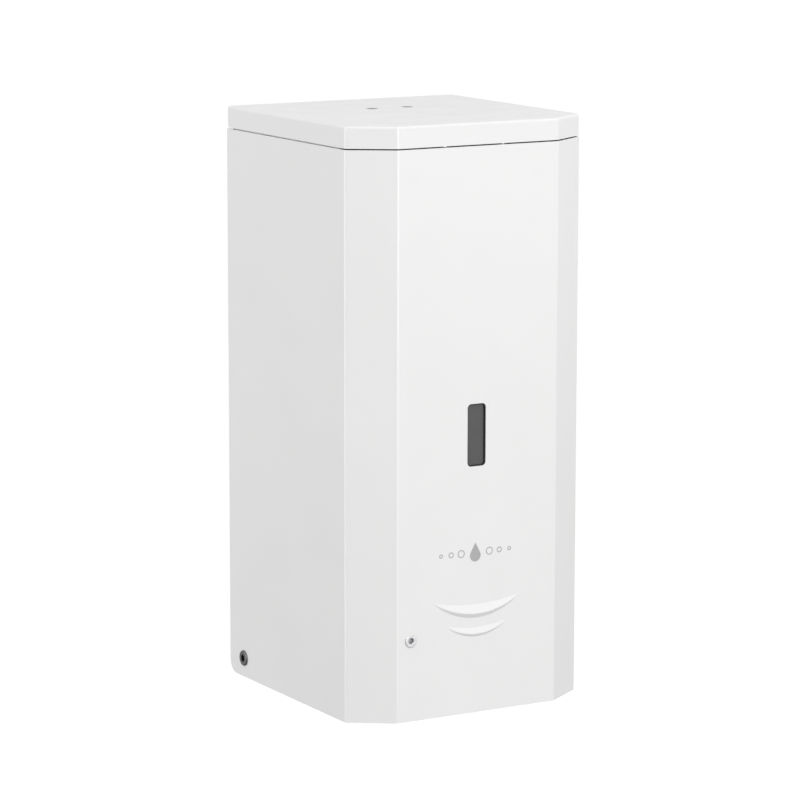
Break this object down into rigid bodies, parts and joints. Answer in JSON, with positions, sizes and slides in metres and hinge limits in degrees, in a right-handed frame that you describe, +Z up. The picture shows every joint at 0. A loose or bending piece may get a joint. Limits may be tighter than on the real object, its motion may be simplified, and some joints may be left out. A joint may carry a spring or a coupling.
{
  "type": "wall mounted soap dispenser",
  "caption": "Touch-free wall soap dispenser: painted steel hinged cover with level window and status light, key latch, soap tank and motor-driven hose pump with a nozzle below.",
  "frame": {"origin": "centre of the four wall-screw holes, in the wall plane", "axes": "+X across the front to the viewer's right, +Y into the wall, +Z up"},
  "size_m": [0.1264, 0.129, 0.275],
  "materials": {
    "casing_paint": "white epoxy powder coat, semi-gloss",
    "zinc_sheet": "zinc-plated sheet, satin",
    "zinc_fastener": "zinc-plated, satin",
    "dark_screw": "blackened, satin",
    "spring_steel": "bright",
    "bright_pin": "ground",
    "housing_plastic": "fine texture",
    "tank_plastic": "translucent, waxy",
    "cap_plastic": "satin",
    "pad_plastic": "satin",
    "smoke_lens": "smoke tinted, polished",
    "clear_plastic": "clear, polished",
    "black_rubber": "matte",
    "silicone": "translucent, matte",
    "pump_plastic": "satin",
    "acetal": "satin",
    "brass_gear": "machined",
    "gear_plate": "satin",
    "motor_can": "nickel plated",
    "bezel_metal": "satin",
    "battery_plastic": "fine texture",
    "cell_sleeve": "printed sleeve",
    "contact_nickel": "bright nickel",
    "board_green": "solder mask",
    "component_black": "moulded",
    "led_lens": "diffused",
    "filter_black": "infrared filter, polished",
    "lead_sleeve": "PVC sleeve"
  },
  "bodies": {
    "wall_unit": {"back_plate": "zinc_sheet", "top_lid": "casing_paint", "lid_screws": "zinc_fastener", "pivot_screws": "dark_screw", "pivot_washers": "zinc_fastener", "pivot_nuts": "zinc_fastener", "latch_bracket": "zinc_sheet", "latch_pin": "bright_pin", "latch_spring": "spring_steel", "base_housing": "housing_plastic", "housing_screws": "zinc_fastener", "soap_tank": "tank_plastic", "filler_seal": "black_rubber", "tank_clips": "zinc_sheet", "tank_seal": "black_rubber", "inlet_fitting": "pump_plastic", "pump_hose": "silicone", "hose_clips": "spring_steel", "nozzle": "pump_plastic", "nozzle_valve": "silicone", "pump_body": "pump_plastic", "pump_cover": "clear_plastic", "small_screws": "zinc_fastener", "idler_pin": "bright_pin", "gear_plate": "gear_plate", "gear_screws": "zinc_fastener", "motor": "motor_can", "battery_case": "battery_plastic", "batteries": "cell_sleeve", "battery_contacts": "contact_nickel", "circuit_board": "board_green", "board_parts": "component_black", "status_led": "led_lens", "hand_sensor": "component_black", "sensor_window": "filter_black", "inner_leads": "lead_sleeve"},
    "cover": {"front_cover": "casing_paint", "level_window": "smoke_lens", "window_gasket": "black_rubber", "window_retainer": "zinc_sheet", "retainer_nuts": "zinc_fastener", "light_bezel": "bezel_metal", "light_pipe": "clear_plastic", "bezel_nut": "bezel_metal", "cover_catch": "spring_steel", "catch_rivets": "zinc_fastener"},
    "latch": {"latch_lever": "zinc_sheet", "latch_pads": "pad_plastic"},
    "filler_cap": {"filler_cap": "cap_plastic"},
    "battery_door": {"battery_door": "battery_plastic"},
    "rotor": {"rotor": "acetal", "rotor_gear": "acetal", "rotor_shaft": "bright_pin", "roller_pins": "bright_pin"},
    "roller_1": {"roller_1": "acetal"},
    "roller_2": {"roller_2": "acetal"},
    "roller_3": {"roller_3": "acetal"},
    "idler": {"idler_gear": "acetal"},
    "motor_rotor": {"motor_pinion": "brass_gear", "motor_shaft": "bright_pin"}
  },
  "joints": [
    {"name": "cover_hinge", "type": "hinge", "parent": "wall_unit", "child": "cover", "pos_m": [0, -0.015, -0.1608], "axis": [1, 0, 0], "range_deg": [0, 90], "deforming": ["cover_catch"]},
    {"name": "latch_hinge", "type": "hinge", "parent": "wall_unit", "child": "latch", "pos_m": [0, -0.022, 0.0914], "axis": [1, 0, 0], "range_deg": [0, 3], "stiffness_Nm_per_rad": 1, "springref_deg": -5.73, "deforming": ["latch_spring"]},
    {"name": "cap_turn", "type": "hinge", "parent": "wall_unit", "child": "filler_cap", "pos_m": [0.024, -0.062, 0.076], "axis": [0, 0, 1], "range_deg": [0, 90]},
    {"name": "battery_door_slide", "type": "slide", "parent": "wall_unit", "child": "battery_door", "axis": [0, 0, 1], "range_m": [0, 0.036]},
    {"name": "rotor_spin", "type": "hinge", "parent": "wall_unit", "child": "rotor", "pos_m": [0.012, -0.098, -0.126], "axis": [0, 1, 0], "continuous": true},
    {"name": "idler_spin", "type": "hinge", "parent": "wall_unit", "child": "idler", "pos_m": [0.012, -0.08, -0.146], "axis": [0, 1, 0], "continuous": true},
    {"name": "motor_spin", "type": "hinge", "parent": "wall_unit", "child": "motor_rotor", "pos_m": [0.012, -0.074, -0.1276], "axis": [0, 1, 0], "continuous": true},
    {"name": "roller_1_spin", "type": "hinge", "parent": "rotor", "child": "roller_1", "pos_m": [0.012, -0.098, -0.1178], "axis": [0, 1, 0], "continuous": true},
    {"name": "roller_2_spin", "type": "hinge", "parent": "rotor", "child": "roller_2", "pos_m": [0.0049, -0.098, -0.1301], "axis": [0, 1, 0], "continuous": true},
    {"name": "roller_3_spin", "type": "hinge", "parent": "rotor", "child": "roller_3", "pos_m": [0.0191, -0.098, -0.1301], "axis": [0, 1, 0], "continuous": true}
  ],
  "couplings": [
    {"joint": "idler_spin", "follows": "rotor_spin", "ratio": -4},
    {"joint": "motor_spin", "follows": "rotor_spin", "ratio": 14.4},
    {"joint": "roller_1_spin", "follows": "rotor_spin", "ratio": -3.05},
    {"joint": "roller_2_spin", "follows": "rotor_spin", "ratio": -3.05},
    {"joint": "roller_3_spin", "follows": "rotor_spin", "ratio": -3.05}
  ]
}
